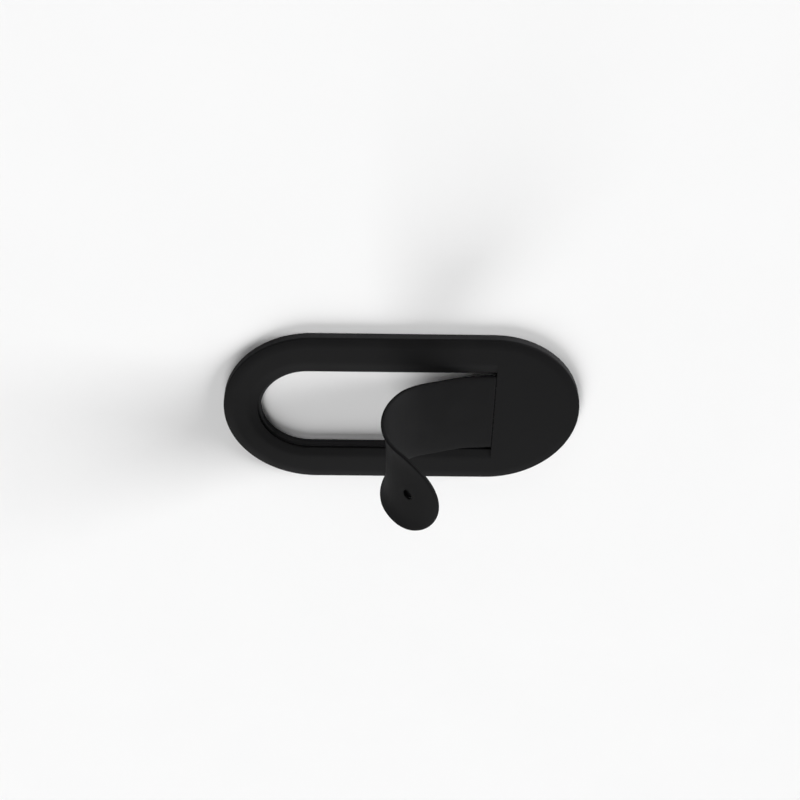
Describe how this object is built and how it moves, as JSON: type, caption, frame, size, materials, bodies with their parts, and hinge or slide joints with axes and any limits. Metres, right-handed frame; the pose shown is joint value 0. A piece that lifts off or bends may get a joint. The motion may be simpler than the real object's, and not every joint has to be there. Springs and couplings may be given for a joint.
{
  "type": "phone stand",
  "caption": "Stadium pad with an adhesive back and a long opening, and a strap that lies flat in the opening or stays curled up as the leg of a phone stand or a finger loop.",
  "frame": {"origin": "centre of the pad's outline, on its adhesive face", "axes": "+X along the pad from its round opening end to the strap's root, +Y across the pad, +Z out of the pad, away from what it is stuck to"},
  "size_m": [0.0814, 0.0414, 0.0337],
  "materials": {
    "silicone": "matte black moulded silicone",
    "adhesive_foam": "dark grey closed-cell foam tape",
    "spring_steel": "bright rolled strip"
  },
  "bodies": {
    "pad": {"moulded_sheet": "silicone", "adhesive_pad": "adhesive_foam", "spring_anchor": "spring_steel"},
    "root_stretch": {"strap_root": "silicone", "spring_root": "spring_steel"},
    "link_1": {"strap_link_1": "silicone", "spring_link_1": "spring_steel"},
    "link_2": {"strap_link_2": "silicone", "spring_link_2": "spring_steel"},
    "link_3": {"strap_link_3": "silicone", "spring_link_3": "spring_steel"},
    "link_4": {"strap_link_4": "silicone", "spring_link_4": "spring_steel"},
    "link_5": {"strap_link_5": "silicone", "spring_link_5": "spring_steel"},
    "link_6": {"strap_link_6": "silicone", "spring_link_6": "spring_steel"},
    "tip": {"strap_tip": "silicone", "spring_tip": "spring_steel"}
  },
  "joints": [
    {"name": "strap_lift", "type": "hinge", "parent": "pad", "child": "root_stretch", "pos_m": [0.02112, 0, 0.00163], "axis": [0, -1, 0], "range_deg": [0, 13]},
    {"name": "bend_1", "type": "hinge", "parent": "root_stretch", "child": "link_1", "pos_m": [0.00506, 0, 0.00534], "axis": [0, -1, 0], "range_deg": [0, 17.67]},
    {"name": "bend_2", "type": "hinge", "parent": "link_1", "child": "link_2", "pos_m": [0.00141, 0, 0.0075], "axis": [0, -1, 0], "range_deg": [0, 17.33]},
    {"name": "bend_3", "type": "hinge", "parent": "link_2", "child": "link_3", "pos_m": [-0.00143, 0, 0.01065], "axis": [0, -1, 0], "range_deg": [0, 17.33]},
    {"name": "bend_4", "type": "hinge", "parent": "link_3", "child": "link_4", "pos_m": [-0.0032, 0, 0.01451], "axis": [0, -1, 0], "range_deg": [0, 17.33]},
    {"name": "bend_5", "type": "hinge", "parent": "link_4", "child": "link_5", "pos_m": [-0.00374, 0, 0.01871], "axis": [0, -1, 0], "range_deg": [0, 17.33]},
    {"name": "bend_6", "type": "hinge", "parent": "link_5", "child": "link_6", "pos_m": [-0.003, 0, 0.02289], "axis": [0, -1, 0], "range_deg": [0, 17.33]},
    {"name": "tip_bend", "type": "hinge", "parent": "link_6", "child": "tip", "pos_m": [-0.00105, 0, 0.02665], "axis": [0, -1, 0], "range_deg": [0, 22.67]}
  ],
  "couplings": [
    {"joint": "bend_1", "follows": "strap_lift", "ratio": 1.359},
    {"joint": "bend_2", "follows": "strap_lift", "ratio": 1.3333},
    {"joint": "bend_3", "follows": "strap_lift", "ratio": 1.3333},
    {"joint": "bend_4", "follows": "strap_lift", "ratio": 1.3333},
    {"joint": "bend_5", "follows": "strap_lift", "ratio": 1.3333},
    {"joint": "bend_6", "follows": "strap_lift", "ratio": 1.3333},
    {"joint": "tip_bend", "follows": "strap_lift", "ratio": 1.7436}
  ]
}
